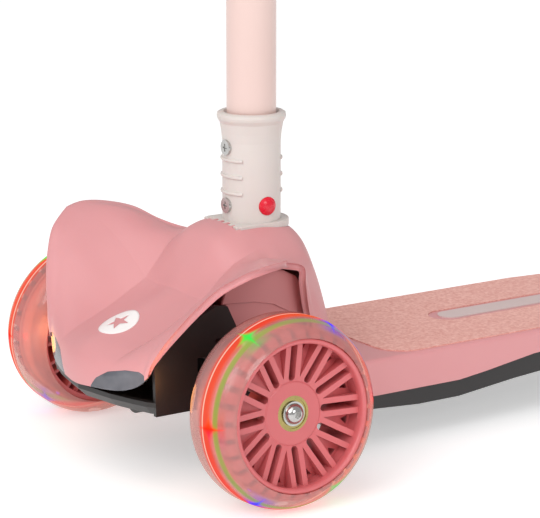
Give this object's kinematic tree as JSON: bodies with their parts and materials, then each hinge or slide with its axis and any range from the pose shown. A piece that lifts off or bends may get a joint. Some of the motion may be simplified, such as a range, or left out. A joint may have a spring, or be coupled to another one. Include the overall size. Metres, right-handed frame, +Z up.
{
  "type": "kick scooter",
  "caption": "Child's three-wheel kick scooter with lean steering, adjustable T-bar, grip deck, arched front cover and press-down rear brake.",
  "frame": {"origin": "on the floor, under the middle of the scooter's overall box", "axes": "+Z up, along the steering column; forward is -Y; +X is the rider's left"},
  "size_m": [0.29, 0.5759, 0.6797],
  "materials": {
    "pink_shell": "satin moulded ABS",
    "pink_rim": "satin moulded nylon",
    "black_frame": "fine grained moulded nylon",
    "black_steel": "powder coated",
    "pale_collar": "satin moulded nylon",
    "pink_tube": "satin powder coat",
    "grip_sand": "sandy anti-slip sheet",
    "inlay_grey": "satin",
    "clear_tyre": "clear cast polyurethane",
    "rear_pu": "satin cast polyurethane",
    "lamp_smoke": "smoked clear",
    "white_badge": "printed white",
    "light_strip": "diffusing, lit",
    "zinc_steel": "yellow zinc plated",
    "bright_steel": "polished",
    "soft_rubber": "matt",
    "red_button": "gloss moulded ABS",
    "pink_grip": "soft moulded TPR"
  },
  "bodies": {
    "frame": {"brake_pin": "bright_steel", "brake_spring": "bright_steel", "button_spring": "bright_steel", "clamp_pins": "bright_steel", "collar_base_plate": "pale_collar", "collar_screws": "bright_steel", "deck": "pink_shell", "deck_inlay": "inlay_grey", "deck_screws": "bright_steel", "deck_underframe": "black_frame", "front_chassis": "black_frame", "front_cover": "pink_shell", "grip_mat": "grip_sand", "height_clamp": "black_frame", "lean_shaft": "bright_steel", "left_lamp_lens": "lamp_smoke", "lower_stem": "pink_tube", "nose_badge": "white_badge", "rear_axle_bolt": "bright_steel", "rear_axle_nut": "bright_steel", "rear_axle_spacers": "bright_steel", "right_lamp_lens": "lamp_smoke", "steering_housing": "pink_shell", "stem_collar": "pale_collar", "stem_guide_bush": "black_frame", "stem_socket": "black_frame", "stop_pads": "soft_rubber"},
    "steering_truck": {"axle_beam": "black_steel", "torsion_bushes": "soft_rubber", "left_kingpin": "bright_steel", "right_kingpin": "bright_steel"},
    "track_rod": {"tie_rod": "black_frame"},
    "left_steer": {"left_knuckle": "black_frame", "left_axle_bolt": "bright_steel", "left_magnet_ring": "bright_steel"},
    "right_steer": {"right_knuckle": "black_frame", "right_axle_bolt": "bright_steel", "right_magnet_ring": "bright_steel"},
    "left_wheel": {"left_rim": "pink_rim", "left_tyre": "clear_tyre", "left_bearings": "zinc_steel", "left_bearing_spacer": "bright_steel", "left_light_ring": "light_strip"},
    "right_wheel": {"right_rim": "pink_rim", "right_tyre": "clear_tyre", "right_bearings": "zinc_steel", "right_bearing_spacer": "bright_steel", "right_light_ring": "light_strip"},
    "back_wheel": {"rear_rim": "pink_rim", "rear_tyre": "rear_pu", "rear_bearings": "zinc_steel", "rear_bearing_spacer": "bright_steel"},
    "brake": {"rear_brake": "pink_shell"},
    "button": {"release_button": "red_button"},
    "lever": {"clamp_lever": "black_frame"},
    "t_bar": {"upper_stem": "pink_tube", "tee_joint": "black_frame", "handlebar": "pink_tube", "left_grip": "pink_grip", "right_grip": "pink_grip"}
  },
  "joints": [
    {"name": "lean", "type": "hinge", "parent": "frame", "child": "steering_truck", "pos_m": [0, -0.21, 0.045], "axis": [0, 1, 0], "range_deg": [-7, 7], "stiffness_Nm_per_rad": 30},
    {"name": "rod_shift", "type": "slide", "parent": "steering_truck", "child": "track_rod", "axis": [1, 0, 0], "range_m": [-0.0032, 0.0032]},
    {"name": "left_steering", "type": "hinge", "parent": "steering_truck", "child": "left_steer", "pos_m": [0.077, -0.21, 0.06], "axis": [0, 0, 1], "range_deg": [-11.2, 11.2]},
    {"name": "right_steering", "type": "hinge", "parent": "steering_truck", "child": "right_steer", "pos_m": [-0.077, -0.21, 0.06], "axis": [0, 0, 1], "range_deg": [-11.2, 11.2]},
    {"name": "left_wheel_spin", "type": "hinge", "parent": "left_steer", "child": "left_wheel", "pos_m": [0.1189, -0.21, 0.05998], "axis": [0.9976, 0, 0.0698], "continuous": true},
    {"name": "right_wheel_spin", "type": "hinge", "parent": "right_steer", "child": "right_wheel", "pos_m": [-0.1189, -0.21, 0.05998], "axis": [0.9976, 0, -0.0698], "continuous": true},
    {"name": "rear_wheel_spin", "type": "hinge", "parent": "frame", "child": "back_wheel", "pos_m": [0, 0.24, 0.04], "axis": [1, 0, 0], "continuous": true},
    {"name": "brake_press", "type": "hinge", "parent": "frame", "child": "brake", "pos_m": [0, 0.189, 0.067], "axis": [1, 0, 0], "range_deg": [-4.3, 0], "stiffness_Nm_per_rad": 4, "springref_deg": 3.44},
    {"name": "button_press", "type": "slide", "parent": "frame", "child": "button", "axis": [-1, 0, 0], "range_m": [0, 0.0032], "stiffness_N_per_m": 900, "deforming": ["button_spring"]},
    {"name": "lever_open", "type": "hinge", "parent": "frame", "child": "lever", "pos_m": [0.0155, -0.1277, 0.445], "axis": [0, 0, 1], "range_deg": [0, 110]},
    {"name": "height_slide", "type": "slide", "parent": "frame", "child": "t_bar", "axis": [0, 0, 1], "range_m": [0, 0.14]}
  ],
  "couplings": [
    {"joint": "rod_shift", "follows": "lean", "m_per_rad": -0.025},
    {"joint": "left_steering", "follows": "lean", "ratio": -1.5625},
    {"joint": "right_steering", "follows": "lean", "ratio": -1.5625}
  ]
}
